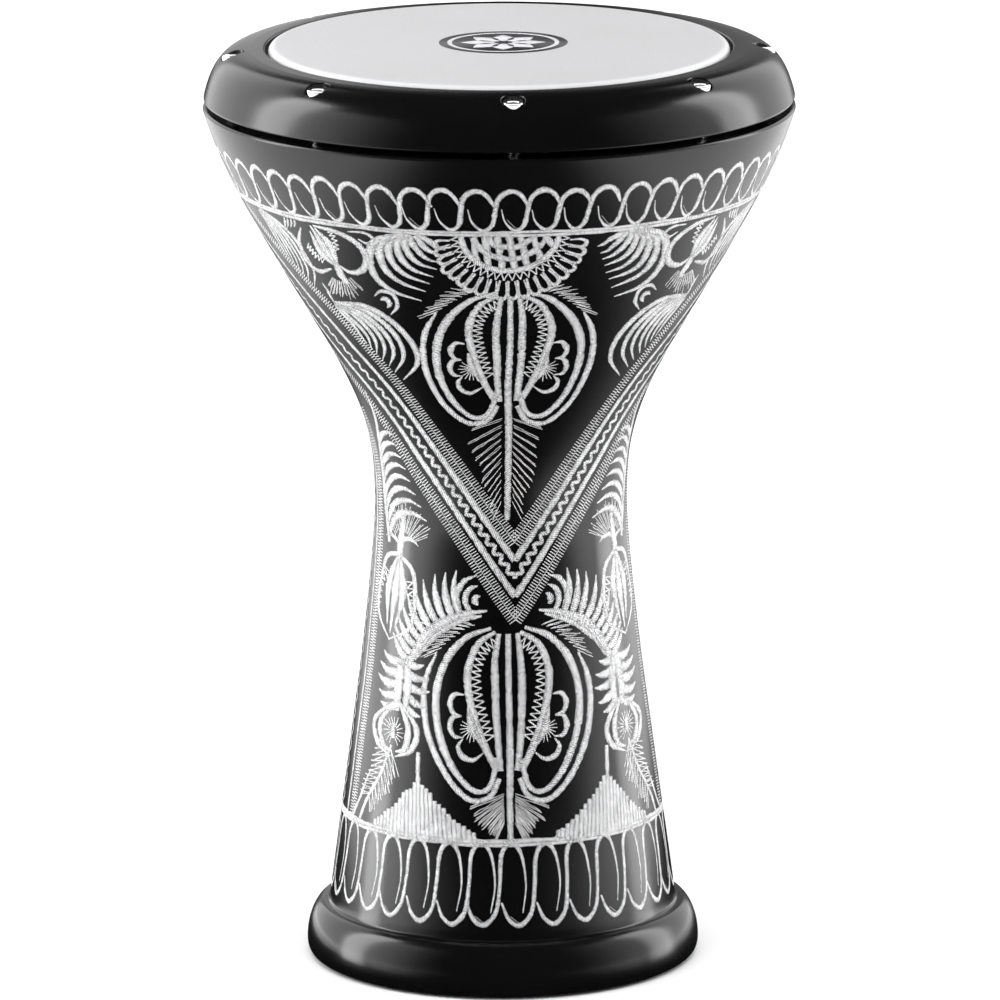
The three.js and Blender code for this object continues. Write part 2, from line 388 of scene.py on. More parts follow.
def ink(name, dark, light):
    """Screen-printed ink, a little mottled."""
    n = Nodes(name)
    mottle = n.noise(500, 3)
    n.set(Base_Color=n.ramp(mottle, (0.3, dark), (0.7, light)), Roughness=n.spread(mottle, 0.4, 0.55))
    n.bump(mottle, 0.1, 0.00005)
    return n.material


def metal(name, dark, light, smooth, rough):
    """A plated or machined metal with fine tool marks and smears."""
    n = Nodes(name)
    marks = n.noise(800, 3)
    n.set(
        Base_Color=n.ramp(n.noise(90, 3), (0.3, dark), (0.7, light)),
        Metallic=1.0,
        Roughness=n.spread(marks, smooth, rough),
    )
    n.bump(marks, 0.1, 0.00005)
    return n.material


LACQUER = black_lacquer()
CUT = cut_aluminium()
FILM = white_film()
DARK_INK = ink("dark_ink", (0.022, 0.020, 0.024), (0.034, 0.030, 0.036))
LIGHT_INK = ink("light_ink", (0.60, 0.60, 0.62), (0.68, 0.68, 0.70))
CHROME = metal("chrome", (0.80, 0.80, 0.81), (0.92, 0.92, 0.93), 0.08, 0.16)
ZINC = metal("zinc", (0.48, 0.49, 0.51), (0.62, 0.63, 0.65), 0.28, 0.42)
BRASS = metal("brass", (0.48, 0.33, 0.13), (0.62, 0.45, 0.20), 0.25, 0.4)
ALUMINIUM = metal("aluminium", (0.62, 0.62, 0.64), (0.78, 0.78, 0.80), 0.28, 0.42)


# ---------------------------------------------------------------- shell, collar, head, screws


def posts(radius, bottom, top):
    """Round tools on the eight screws' axes."""
    rows = [(0, bottom), (radius, bottom), (radius, top), (0, top)]
    return [turned("tool", rows, LACQUER, 48, (x, y)) for _, _, x, y in SCREWS]


def shell_casting():
    """One casting: foot bead, stem, throat, bowl, lip, screw shelf with bosses, bearing edge."""
    outer = outer_wall(24)
    run = np.gradient(outer, axis=0)
    run /= np.linalg.norm(run, axis=1)[:, None]
    inner = outer + np.stack([-run[:, 1], run[:, 0]], 1) * WALL
    inner = inner[inner[:, 1] < SHELF_UNDERSIDE - 5][::-1]
    corner = inner[0][0]
    profile = np.vstack([
        bend((86, 0), (91, 0), (FOOT_RADIUS, 2), (FOOT_RADIUS, 7), 12),
        bend((FOOT_RADIUS, 7), (FOOT_RADIUS, 17), (88.5, 26), (84.2, 25.6), 18),
        bend((84.2, 25.6), (83.2, 25.5), (82.3, 25.9), (82.0, 28.5), 5),
        outer[outer[:, 1] > 29],
        arc((LIP[0] - 1.5, LIP[1]), 1.5, 10, 90, 5),
        line((LIP[0] - 4, SHELF_TOP), (BEARING_OUTER + 2, SHELF_TOP), 8),
        arc((BEARING_OUTER + 1.5, SHELF_TOP + 1.5), 1.5, 270, 180, 4),
        line((BEARING_OUTER, SHELF_TOP + 3), (BEARING_OUTER, 434.6), 4),
        arc((BEARING_OUTER - 2.6, 434.7), 2.6, 0, 90, 8),
        arc((BEARING_INNER + 1, 436.3), 1.0, 100, 180, 4),
        line((BEARING_INNER, 433), (BEARING_INNER, SHELF_UNDERSIDE + 1), 5),
        arc((BEARING_INNER + 1, SHELF_UNDERSIDE + 1), 1.0, 180, 270, 3),
        line((107, SHELF_UNDERSIDE), (corner - 3, SHELF_UNDERSIDE), 8),
        bend((corner - 3, SHELF_UNDERSIDE), (corner, SHELF_UNDERSIDE), (corner + 0.6, 399), inner[0], 5),
        inner,
        bend((78.4, 5), (78.4, 2), (79, 0), (80.6, 0), 6),
        [(80.6, 0)],
    ])
    shell = turned("shell_casting", profile, LACQUER)
    combine(shell, posts(BOSS_RADIUS, SHELF_UNDERSIDE - 8, SHELF_UNDERSIDE + 3), "UNION")
    combine(shell, posts(INSERT_BORE, SHELF_UNDERSIDE - 11, SHELF_TOP + 3), "DIFFERENCE")
    shade(shell)
    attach(shell, "shell")
    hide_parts("goblet_shell")


COLLAR_BEND = (117.5, COLLAR_TOP - 0.3)
COLLAR_FACE = np.vstack([
    bend(COLLAR_BEND, (128.5, 435.5), (COLLAR_RADIUS - 4, 430.8), (COLLAR_RADIUS, 414.2), 28),
    [(COLLAR_RADIUS, 414.2)],
])


def collar_height(radius):
    """Height of the collar's upper face at a distance from the drum's axis."""
    return np.interp(radius, COLLAR_FACE[:, 0], COLLAR_FACE[:, 1])


def counterbore(x, y, steps=64):
    """Tool for a screw's counterbore, flared a little where it breaks the collar's face."""
    angles = np.linspace(0, 2 * math.pi, steps, endpoint=False)

    def face(radius):
        return collar_height(np.hypot(x + radius * np.cos(angles), y + radius * np.sin(angles)))

    floor = WASHER_BOTTOM - 0.3
    above = COLLAR_TOP + 8
    rows = [(0, floor), (COUNTERBORE, floor)]
    for flare, rise in ((0.0, -0.5), (0.08, -0.2), (0.3, 0.0), (0.6, 0.2)):
        rows.append((COUNTERBORE + flare, face(COUNTERBORE + flare) + rise))
    rows += [(COUNTERBORE + 0.6, above), (0, above)]
    return turned("tool", rows, LACQUER, steps, (x, y))


def collar_ring():
    """The tuning collar: flat inner lip, domed face, sunk screw holes, hollow underneath."""
    profile = np.vstack([
        arc((COLLAR_INNER + 0.8, COLLAR_TOP - 0.8), 0.8, 90, 180, 5),
        lines([
            (COLLAR_INNER, 434), (COLLAR_INNER, HOOP_ROOM_TOP), (HOOP_ROOM_RADIUS, HOOP_ROOM_TOP),
            (HOOP_ROOM_RADIUS, FLANGE_UNDERSIDE), (131.6, FLANGE_UNDERSIDE), (134.6, COLLAR_BOTTOM),
            (COLLAR_RADIUS - 1, COLLAR_BOTTOM),
        ], (3, 3, 4, 6, 4, 3)),
        arc((COLLAR_RADIUS - 1, COLLAR_BOTTOM + 1), 1, 270, 350, 5),
        COLLAR_FACE[::-1],
        line((116.5, COLLAR_TOP - 0.12), (COLLAR_INNER + 1.2, COLLAR_TOP), 4),
    ])
    collar = turned("collar_ring", profile[::-1], LACQUER)
    combine(collar, [counterbore(x, y) for _, _, x, y in SCREWS], "DIFFERENCE")
    combine(collar, posts(CLEARANCE_HOLE, SHELF_TOP, HOOP_ROOM_TOP - 1.3), "DIFFERENCE")
    shade(collar)
    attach(collar, "collar")
    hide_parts("tuning_collar")


def film_head():
    """The film: flat field, rolled edge, skirt down beside the bearing edge, and tucked hem."""
    thickness = 0.4
    rolled = 3.2
    centre = (FILM_RADIUS - rolled, FILM_TOP - rolled)
    flat = FILM_RADIUS - 4
    profile = np.vstack([
        [(0, FILM_TOP - thickness)],
        line((30, FILM_TOP - thickness), (flat, FILM_TOP - thickness), 3),
        arc(centre, rolled - thickness, 90, 0, 10),
        [(FILM_RADIUS - thickness, FILM_HEM), (FILM_HEM_RADIUS, FILM_HEM)],
        [(FILM_HEM_RADIUS, FILM_HEM + thickness), (FILM_RADIUS, FILM_HEM + thickness)],
        arc(centre, rolled, 0, 90, 12),
        line((flat, FILM_TOP), (30, FILM_TOP), 3),
        [(0, FILM_TOP)],
    ])
    film = turned("film_head", profile, FILM)
    shade(film)
    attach(film, "shell")
    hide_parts("head_film")


def hexagon(across_flats, steps):
    """Distance from the centre to a hexagon's edge at each step round it."""
    angles = np.linspace(0, 2 * math.pi, steps, endpoint=False)
    from_flat = (angles + math.pi / 6) % (math.pi / 3) - math.pi / 6
    return across_flats / 2 / np.cos(from_flat)


def tuning_screw(body, node, x, y, steps=48):
    """An M6 socket-head screw: rounded head, hexagon socket and a helical thread."""
    seat = SCREW_TOP - 6
    across_flats = 5
    pitch = 1.0
    rows_per_turn = 6
    turn = np.arange(steps) / steps
    socket = hexagon(across_flats, steps)
    rows = [(0, SCREW_TOP - 3.4), (socket * 0.98, SCREW_TOP - 3.0), (socket, SCREW_TOP - 0.5)]
    rows += [(2.98, SCREW_TOP - 0.12), (3.1, SCREW_TOP)]
    rows += [tuple(p) for p in arc((SCREW_HEAD - 0.7, SCREW_TOP - 0.7), 0.7, 90, 0, 5)]
    rows += [(SCREW_HEAD, seat + 0.4), (SCREW_HEAD - 0.2, seat), (3.2, seat)]
    thread_top = seat - 5
    rows += [(SCREW_SHANK, seat - 0.3), (SCREW_SHANK, thread_top)]
    count = int((thread_top - SCREW_TIP - 1) / pitch * rows_per_turn)
    for i in range(count):
        z = thread_top - (i + 1) * pitch / rows_per_turn
        groove = np.abs((z / pitch - turn) % 1.0 - 0.5) * 2
        fade = min(1.0, (i + 1) / rows_per_turn)
        rows.append((SCREW_SHANK + 0.02 - 0.55 * fade * groove, z))
    rows += [(2.2, SCREW_TIP), (0, SCREW_TIP)]
    screw = turned("socket_" + body, rows[::-1], CHROME, steps, (x, y))
    shade(screw, 40)
    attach(screw, body)
    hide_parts(node)
    return screw


def badge():
    """Printed badge on the film: a dark oval, with a light ring and rosette on it."""
    half_wide = 30.2
    half_deep = 28.2
    centre = np.array((2.0, 3.5))
    base = FILM_TOP + 0.02
    layers = [
        ("badge_disc", DARK_INK, [circle(96)], 0.05),
        ("badge_marks", LIGHT_INK, ring_strip(0.80, 0.87) + rosette(8), 0.09),
    ]
    for name, material, outlines, top in layers:
        verts = []
        faces = []
        for outline in outlines:
            flat = centre + np.asarray(outline) * (half_wide, half_deep)
            raised_patch(verts, faces, flat, base, FILM_TOP + top)
        piece = new_object(name, verts, faces, material)
        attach(piece, "shell")


def raised_patch(verts, faces, outline, bottom, top):
    """Adds a thin slab with this outline."""
    n = len(outline)
    start = len(verts)
    verts += [(x, y, bottom) for x, y in outline] + [(x, y, top) for x, y in outline]
    faces.append(tuple(start + i for i in reversed(range(n))))
    faces.append(tuple(start + n + i for i in range(n)))
    for i in range(n):
        j = (i + 1) % n
        faces.append((start + i, start + j, start + n + j, start + n + i))


def circle(steps):
    """Points round a circle of radius 1."""
    a = np.linspace(0, 2 * math.pi, steps, endpoint=False)
    return np.stack([np.cos(a), np.sin(a)], 1)


def ring_strip(inner, outer):
    """A ring as a row of quads."""
    start = circle(48)
    end = np.roll(start, -1, 0)
    return [[inner * a, outer * a, outer * b, inner * b] for a, b in zip(start, end)]


def rosette(petals):
    """Outlines of pointed petals round a small open middle."""
    inner = 0.12
    reach = 0.66
    width = 0.17
    shapes = []
    for k in range(petals):
        turn = 2 * math.pi * k / petals
        t = np.linspace(0, 1, 12)
        side = width * np.sin(np.pi * t**0.8)
        up = np.stack([inner + (reach - inner) * t, side], 1)
        down = (up * (1, -1))[-2:0:-1]
        c, s = math.cos(turn), math.sin(turn)
        shapes.append(np.vstack([up, down]) @ np.array([[c, s], [-s, c]]))
    return shapes


# ---------------------------------------------------------------- engraving

# A stroke is a shallow ridge of bright cut metal that follows the wall. Places on the wall are
# (x, z): x is the distance round the wall from a panel's centre line, z is the height, in mm.

PANELS = (math.radians(5), math.radians(185))
RING_TOP = 371.8
RING_LOW = 72.3
ENGRAVED = (29.5, 405)  # no stroke goes lower or higher
# Sections of a stroke: place across it in half widths, and height off the wall in mm
BROAD = ((-1.0, -0.15), (-0.8, 0.07), (0.0, 0.035), (0.8, 0.07), (1.0, -0.15), (0.0, -0.3))
FINE = ((-1.0, -0.1), (0.0, 0.07), (1.0, -0.1), (0.0, -0.25))
hand = np.random.default_rng(5)


def smooth_curve(points, step):
    """Points every step or so along a Catmull-Rom curve, and each one's place in the list."""
    p = np.asarray(points, float)
    if len(p) == 2:
        count = max(2, int(np.hypot(*(p[1] - p[0])) / step) + 1)
        t = np.linspace(0, 1, count)
        return p[0] + (p[1] - p[0]) * t[:, None], t
    padded = np.vstack([2 * p[0] - p[1], p, 2 * p[-1] - p[-2]])
    out = []
    place = []
    for i in range(len(p) - 1):
        a, b, c, d = padded[i:i + 4]
        count = max(2, int(np.hypot(*(c - b)) / step) + 1)
        t = np.linspace(0, 1, count, endpoint=False)[:, None]
        out.append(0.5 * (2 * b + (c - a) * t + (2 * a - 5 * b + 4 * c - d) * t**2
                          + (3 * b - a - 3 * c + d) * t**3))
        place.append(i + t[:, 0])
    return np.vstack(out + [p[-1:]]), np.append(np.concatenate(place), len(p) - 1)


def travelled(steps_x, steps_z):
    """Distance covered at each point of a path, from its steps."""
    return np.concatenate([[0], np.cumsum(np.hypot(steps_x, steps_z))])


class Engraving:
    """Collects strokes, then makes them one piece."""

    def __init__(self, name):
        self.name = name
        self.verts = []
        self.faces = []
        self.along = []
        self.across = []
        self.rim = []
        self.count = 0

    def sweep(self, theta, z, half, section):
        """A closed ridge along the wall. Theta is the angle from the front, in radians."""
        radius = wall_radius(z)
        slope = wall_slope(z)
        stretch = wall_stretch(z)
        go_round = np.gradient(theta) * radius
        go_up = np.gradient(z) * stretch
        length = np.maximum(np.hypot(go_round, go_up), 1e-6)
        side_round = -go_up / length
        side_up = go_round / length
        distance = np.concatenate([[0], np.cumsum(length[1:])])
        ring = []
        for across, height in section:
            t = theta + side_round * across * half / radius
            h = z + side_up * across * half / stretch
            r = wall_radius(h) + height / stretch
            ring.append(np.stack([r * np.sin(t), -r * np.cos(t), h - height * slope / stretch], 1))
        n = len(z)
        k = len(section)
        self.verts.append(np.stack(ring, 1).reshape(-1, 3))
        self.along.append(np.repeat(distance, k))
        offset = np.array([s[0] for s in section])
        self.across.append((half[:, None] * offset).reshape(-1))
        # How far out towards the stroke's rim each point lies, for the painted shade that darkens the rims.
        self.rim.append(np.tile(np.abs(offset), n))
        row = np.arange(n - 1)[:, None] * k
        col = np.arange(k)[None, :]
        nxt = (col + 1) % k
        quads = np.stack([row + col, row + k + col, row + k + nxt, row + nxt], 2).reshape(-1, 4)
        last = (n - 1) * k
        caps = [[0, 1, 2, 3]] if k == 4 else [[0, 1, 2, 3], [0, 3, 4, 5]]
        caps += [[last + i for i in reversed(cap)] for cap in caps]
        self.faces.append(np.vstack([quads, caps]) + self.count)
        self.count += n * k

    def piece(self):
        """Makes the piece, with each point's place in its stroke for the graver marks and for the painted
        shade at the strokes' rims.
        """
        verts = np.vstack(self.verts)
        faces = np.vstack(self.faces).tolist()
        obj = new_object(self.name, verts, faces, CUT)
        places = {"along": self.along, "across": self.across, "rim": self.rim}
        for name, values in places.items():
            attribute = obj.data.attributes.new(name, "FLOAT", "POINT")
            attribute.data.foreach_set("value", np.concatenate(values).astype(np.float32))
        obj.data.set_sharp_from_angle(angle=math.radians(50))
        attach(obj, "shell")


class Pen:
    """Draws an engraving's strokes on one half of a panel: 1 is the right half, -1 the left."""

    def __init__(self, engraving, panel, side=1):
        self.engraving = engraving
        self.panel = panel
        self.side = side

    def stroke(self, points, widths, step=1.0, wobble=0.22, fine=False):
        """One stroke of the graver. Widths are given at each point, or one for all of them."""
        curve, place = smooth_curve(points, step)
        if np.ndim(widths) == 0:
            widths = [widths * 0.75] + [widths] * (len(points) - 2) + [widths * 0.6]
        width = np.interp(place, np.arange(len(points)), widths)
        drift = hand.normal(0, wobble, 6)
        at = np.linspace(0, 5, len(curve))
        x = curve[:, 0] + np.interp(at, np.arange(6), drift)
        z = curve[:, 1] + np.interp(at, np.arange(6), np.roll(drift, 2))
        width = width * (1 + hand.normal(0, 0.085, len(width)))
        z = np.clip(z, *ENGRAVED)
        self.draw(x / wall_radius(z), z, width / 2, FINE if fine else BROAD)

    def scratch(self, start, end, widths, wobble):
        """A short straight stroke with the graver's corner."""
        self.stroke([start, end], widths, wobble=wobble, fine=True)

    def draw(self, theta, z, half, section=BROAD):
        """A ridge at angles from the panel's centre line."""
        self.engraving.sweep(self.panel + self.side * theta, z, half, section)


def halves(engraving, panel):
    """Pens for a panel's left and right halves."""
    return [Pen(engraving, panel, side) for side in (-1, 1)]


def turn_point(point, angle, distance):
    """The place at a distance from a point, along a heading clockwise from upright."""
    return (point[0] + distance * math.sin(angle), point[1] + distance * math.cos(angle))


def mix(a, b, t):
    return np.asarray(a, float) * (1 - t) + np.asarray(b, float) * t


def point_along(points, t):
    """Place and heading (from upright, clockwise) at a share t of a path's length."""
    curve, _ = smooth_curve(points, 1.0)
    run = travelled(*np.diff(curve, axis=0).T)
    x = np.interp(t * run[-1], run, curve[:, 0])
    z = np.interp(t * run[-1], run, curve[:, 1])
    i = min(int(np.searchsorted(run, t * run[-1])), len(curve) - 1)
    ahead = curve[min(i + 1, len(curve) - 1)] - curve[max(i - 1, 0)]
    return (x, z), math.atan2(ahead[0], ahead[1])


def leaf(pen, root, heading, length, curl, width):
    """A tapered feather that sets off along a heading (from upright) and curls over."""
    points = [root]
    steps = 4
    for i in range(steps):
        heading += curl / steps
        points.append(turn_point(points[-1], heading, length / steps))
    shares = (0.55, 1.0, 0.95, 0.6, 0.15)
    pen.stroke(points, [width * s for s in shares], wobble=0.12)


def sawtooth(pen, path, widths, wobble):
    """Short fine strokes from each place to the next."""
    for start, end in zip(path, path[1:]):
        pen.scratch(start, end, widths, wobble)


def zigzag(pen, points, teeth, near, far, width):
    """Teeth along a path, from near to far off its right-hand side."""
    path = []
    for i in range(2 * teeth + 1):
        place, heading = point_along(points, i / (2 * teeth))
        path.append(turn_point(place, heading + math.pi / 2, far if i % 2 else near))
    sawtooth(pen, path, [width, width], 0.05)


def comb(pen, centre, start, end, teeth, inner, outer, width):
    """Short teeth that fan out of a point, between two headings in degrees."""
    for i in range(teeth):
        heading = math.radians(start + (end - start) * i / (teeth - 1))
        root = turn_point(centre, heading, inner)
        tip = turn_point(centre, heading + 0.12, outer * hand.uniform(0.9, 1.1))
        pen.scratch(root, tip, [width, width * 0.6], 0.08)


def hair(pen, centre, start, end, count, inner, outer, width=0.75):
    """Long thin double strokes fanning out of a point."""
    for i in range(count):
        for part in (-0.16, 0.16):
            heading = math.radians(start + (end - start) * (i + part) / (count - 1))
            root = turn_point(centre, heading, inner)
            tip = turn_point(centre, heading, outer * hand.uniform(0.85, 1.1))
            pen.scratch(root, tip, [width, width * 1.3], 0.12)


def fan(pen, outer, inner, count, width):
    """Nested feathers, spaced from the outer path to the inner one."""
    for i in range(count):
        t = i / (count - 1)
        points = mix(outer, inner, t**0.85)
        place = np.linspace(0, 1, len(points))
        shares = np.interp(place, (0, 0.35, 0.7, 1), (0.6, 1.0, 0.8, 0.12))
        pen.stroke(points, shares * width * (1 - 0.25 * t), wobble=0.2)


def plume(pen, rib, leaves, length, lean, curl, width, rib_width, first=0.0):
    """A rib with feathers down one side, which set off at a lean to it and curl over."""
    pen.stroke(rib, rib_width)
    for i in range(leaves):
        t = first + (1 - first) * (i + 0.5) / leaves
        place, heading = point_along(rib, t)
        reach = length * (0.75 + 0.45 * math.sin(math.pi * (0.15 + 0.8 * t)))
        leaf(pen, place, heading + lean, reach, curl, width)


def bud(pen, centre, angle, length, sepals=True):
    """A bud of almond petals and combs, between two sepals, set at an angle from upright."""
    base = turn_point(centre, angle, -length * 0.5)
    for spread, reach, width in ((-0.19, 0.92, 6.8), (0.0, 1.0, 7.2), (0.19, 0.92, 6.8)):
        middle = turn_point(base, angle + spread * 1.7, length * 0.5 * reach)
        tip = turn_point(base, angle + spread * 0.45, length * reach)
        pen.stroke([base, middle, tip], [2.2, width, 0.9], wobble=0.1)
    for way in (-1, 1):
        if sepals:
            low = turn_point(base, angle + way * 1.0, length * 0.34)
            high = turn_point(base, angle + way * 0.42, length * 0.85)
            pen.stroke([base, low, high, turn_point(base, angle, length * 1.08)], [2.2, 3.4, 2.9, 0.9],
                       wobble=0.1)
        edge = [turn_point(base, angle + way * 0.5, length * 0.34),
                turn_point(base, angle + way * 0.5, length * 0.55),
                turn_point(base, angle + way * 0.38, length * 0.8)]
        zigzag(pen, edge[::way], 6, 0.0, length * 0.13, 1.5)


# Loops of the two borders: places along and up a unit cell, and the stroke's width there in mm
TOP_LOOP = ((0, 0.55, 0.6), (0.12, 0.24, 1.1), (0.45, 0.02, 2.3), (0.74, 0.16, 2.9), (0.82, 0.5, 2.8),
            (0.9, 0.8, 2.8), (1.12, 0.97, 3.2), (1.38, 1.0, 3.1), (1.62, 0.88, 2.7), (1.84, 0.6, 1.4))
LOW_LOOP = ((0, 0.28, 1.1), (0.2, 0.08, 2.4), (0.52, 0, 2.8), (0.86, 0.16, 2.3), (0.97, 0.5, 2.1),
            (1.03, 0.86, 2.5), (1.32, 1.0, 3.1), (1.62, 0.86, 1.9), (1.74, 0.5, 1.1), (1.62, 0.16, 0.6))


def border(name, loop, count, low, high):
    """A ring of overlapping loops."""
    e = Engraving(name)
    for k in range(count):
        start = 2 * math.pi * (k + hand.uniform(-0.06, 0.06)) / count
        top = high + hand.uniform(-0.7, 0.7)
        lean = hand.uniform(-0.05, 0.05)
        middle = wall_radius((low + high) / 2)
        pitch = 2 * math.pi / count * middle
        points = []
        for x, y, _ in loop:
            z = low + (top - low) * y
            points.append(((x + lean * y) * pitch * wall_radius(z) / middle, z))
        pen = Pen(e, start)
        pen.stroke(points, [w * hand.uniform(0.92, 1.08) for _, _, w in loop], 1.1, 0.15)
        if k % 3 == 0:  # a second line, where the graver slipped
            pen.stroke([(x + 0.9, z + 1.2) for x, z in points[1:4]], 0.5, 1.5, 0.1, fine=True)
    e.piece()


def rings():
    """Plain rings under the upper loops and over the lower ones, each cut in two passes."""
    e = Engraving("engraving_rings")
    theta = np.linspace(0, 2 * math.pi + 0.02, 260)
    for z, width in ((RING_TOP, 2.3), (RING_TOP + 1.4, 1.9), (RING_LOW, 2.6), (RING_LOW - 1.6, 2.0)):
        drift = np.interp(theta, np.linspace(0, 6.4, 40), hand.normal(0, 0.22, 40))
        half = width / 2 * (1 + hand.normal(0, 0.09, len(theta)))
        e.sweep(theta, z + drift, half, BROAD)
    e.piece()


# The two edges of a chevron's arm: degrees from the chevron's centre line, and height
ARM_INNER = ((0, 217), (20, 246), (33, 269), (41.6, 289.5), (48, 306.5), (52.2, 318), (56, 327),
             (61.5, 338), (76.5, 369))
ARM_OUTER = ((0, 171.5), (21.5, 204.5), (37.3, 226), (49.5, 241.5), (61.8, 260), (71.2, 274), (82.8, 288),
             (94, 306), (110, 340), (124, 369))
CHEVRON_SHIFT = math.radians(1)
# The side band's rungs, at degrees from the chevrons' centre line for each height
BAND_HEIGHTS = (RING_LOW, 150, 195, 250, 280)
BAND_DEGREES = (75, 74.5, 76, 79.5, 83)
RUNG_PITCH = 1.4
RUNG_HALF_WIDTHS = np.array([0.56, 0.6, 0.5])
ARM_RADIUS = 90  # mm per radian when an arm's edges are measured
PANEL_EDGE = math.radians(90)


def arm_path(share):
    """Line between the arm's edges, as (theta, z) about 1 mm apart."""
    edges = []
    for points in (ARM_INNER, ARM_OUTER):
        curve, _ = smooth_curve([(math.radians(a) * ARM_RADIUS, z) for a, z in points], 1.0)
        run = travelled(*np.diff(curve, axis=0).T)
        even = np.linspace(0, run[-1], 260)
        edges.append(np.stack([np.interp(even, run, curve[:, i]) for i in (0, 1)], 1))
    path = mix(edges[0], edges[1], share)
    theta = path[:, 0] / ARM_RADIUS
    keep = (theta < PANEL_EDGE) & (path[:, 1] < RING_TOP)
    return theta[keep], path[keep, 1]


def evenly(theta, z, spacing):
    """The same path with points at an even distance along the wall."""
    run = travelled(np.diff(theta) * wall_radius(z[1:]), np.diff(z) * wall_stretch(z[1:]))
    even = np.arange(0, run[-1], spacing)
    return np.interp(even, run, theta), np.interp(even, run, z)


def across_path(theta, z, offset):
    """The path moved sideways by an offset in mm, to the left of its heading."""
    radius = wall_radius(z)
    stretch = wall_stretch(z)
    go_round = np.gradient(theta) * radius
    go_up = np.gradient(z) * stretch
    length = np.hypot(go_round, go_up)
    return theta - go_up / length * offset / radius, z + go_round / length * offset / stretch


def ladder(pen, theta, z, half):
    """A band of close rungs, in two overlapping rows as a walked graver leaves them."""
    theta, z = evenly(theta, z, RUNG_PITCH)
    for low, high, shift in ((-half, 0.25, 0.0), (-0.25, half, 0.5)):
        moved = (theta + shift * np.gradient(theta), z + shift * np.gradient(z))
        t0, z0 = across_path(*moved, low)
        t1, z1 = across_path(*moved, high)
        for i in range(len(theta)):
            slant = hand.normal(0, 0.12)
            ends_t = np.array([t0[i], (t0[i] + t1[i]) / 2, t1[i]])
            ends_z = np.array([z0[i], (z0[i] + z1[i]) / 2, z1[i] + slant])
            pen.draw(ends_t, ends_z, RUNG_HALF_WIDTHS, FINE)


def plain_line(pen, theta, z, width):
    """A broad line of slightly uneven width."""
    theta, z = evenly(theta, z, 1.5)
    pen.draw(theta, z, width / 2 * (1 + hand.normal(0, 0.1, len(z))))


def wavy_line(pen, theta, z, width, amplitude, wave):
    """A line that swings to either side of a path, by its amplitude over each length of wave."""
    spacing = 0.9
    theta, z = evenly(theta, z, spacing)
    offset = amplitude * np.sin(np.arange(len(z)) * spacing * 2 * math.pi / wave)
    theta, z = across_path(theta, z, offset)
    pen.draw(theta, z, np.full(len(z), width / 2))


def chevrons():
    """Two great V bands, front and back, whose arms meet those of the other at the sides."""
    e = Engraving("engraving_chevrons")
    for panel in PANELS:
        for pen in halves(e, panel + CHEVRON_SHIFT):
            ladder(pen, *arm_path(0.10), 3.3)
            plain_line(pen, *arm_path(0.29), 3.6)
            wavy_line(pen, *arm_path(0.475), 2.3, 1.35, 5.6)
            plain_line(pen, *arm_path(0.66), 3.6)
            ladder(pen, *arm_path(0.90), 3.4)
    e.piece()


def side_bands():
    """Upright bands between the lower panels, stepped up to a point under the chevrons."""
    e = Engraving("engraving_side_bands")

    def upright(offset, top):
        z = np.linspace(RING_LOW, top, 200)
        return np.radians(np.interp(z, BAND_HEIGHTS, BAND_DEGREES) + offset), z

    for panel in PANELS:
        for pen in halves(e, panel + CHEVRON_SHIFT):
            ladder(pen, *upright(0, 268), 3.4)
            plain_line(pen, *upright(5.5, 276), 2.1)
        middle = np.linspace(RING_LOW, 287, 200)
        wavy_line(Pen(e, panel + CHEVRON_SHIFT), np.full(200, PANEL_EDGE), middle, 1.6, 1.6, 8)
    e.piece()


def medallion(pen):
    """Half-round latticed sun hanging from the upper ring, with teeth and looped petals."""
    centre = (-6.0, RING_TOP)
    wide = 22.5
    deep = 18.5

    def rim(degrees, out):
        a = math.radians(degrees)
        return (centre[0] + (wide + out) * math.sin(a), centre[1] - (deep + out) * math.cos(a))

    pen.stroke([rim(a, 0) for a in np.linspace(-90, 90, 19)], 3.8)
    for inset in (6.4, 12.4):
        pen.stroke([rim(a, -inset) for a in np.linspace(-80, 80, 13)], 3.6)
    for i in range(7):
        share = -0.84 + 0.27 * i
        top = (centre[0] + share * wide * 0.9, centre[1] - 0.5)
        degrees = math.degrees(math.asin(max(-0.95, min(0.95, share + 0.16))))
        pen.stroke([top, rim(degrees, -0.5)], [3.9, 3.7], wobble=0.3)
    teeth = 22
    path = [rim(-88 + 176 * i / (2 * teeth), 5.2 if i % 2 else 1.2) for i in range(2 * teeth + 1)]
    sawtooth(pen, path, [1.5, 1.4], 0.06)
    petals = 20
    for i in range(petals):
        a = -80 + 160 * i / (petals - 1)
        half = 3.3
        reach = 13.2 + 1.5 * math.cos(math.radians(a)) + hand.uniform(-0.5, 0.5)
        points = [rim(a - half, 5.4), rim(a - half * 1.15, reach - 2.6), rim(a - half * 0.5, reach),
                  rim(a + half * 0.6, reach), rim(a + half * 1.1, reach - 2.8), rim(a + half * 0.7, 5.8)]
        pen.stroke(points, [1.3, 1.9, 2.7, 2.6, 1.5, 0.9], wobble=0.12)


# Places in a flower: mm from its middle, and share of the way down it
CLOUDS = (
    ((21.5, 0.49), (26.0, 0.49), (28.6, 0.56), (27.0, 0.63), (23.0, 0.645)),
    ((22.8, 0.65), (27.0, 0.66), (28.8, 0.73), (26.8, 0.80), (22.0, 0.81)),
    ((22.4, 0.82), (24.6, 0.88), (22.6, 0.95), (17.6, 0.975), (12.2, 0.915)),
)


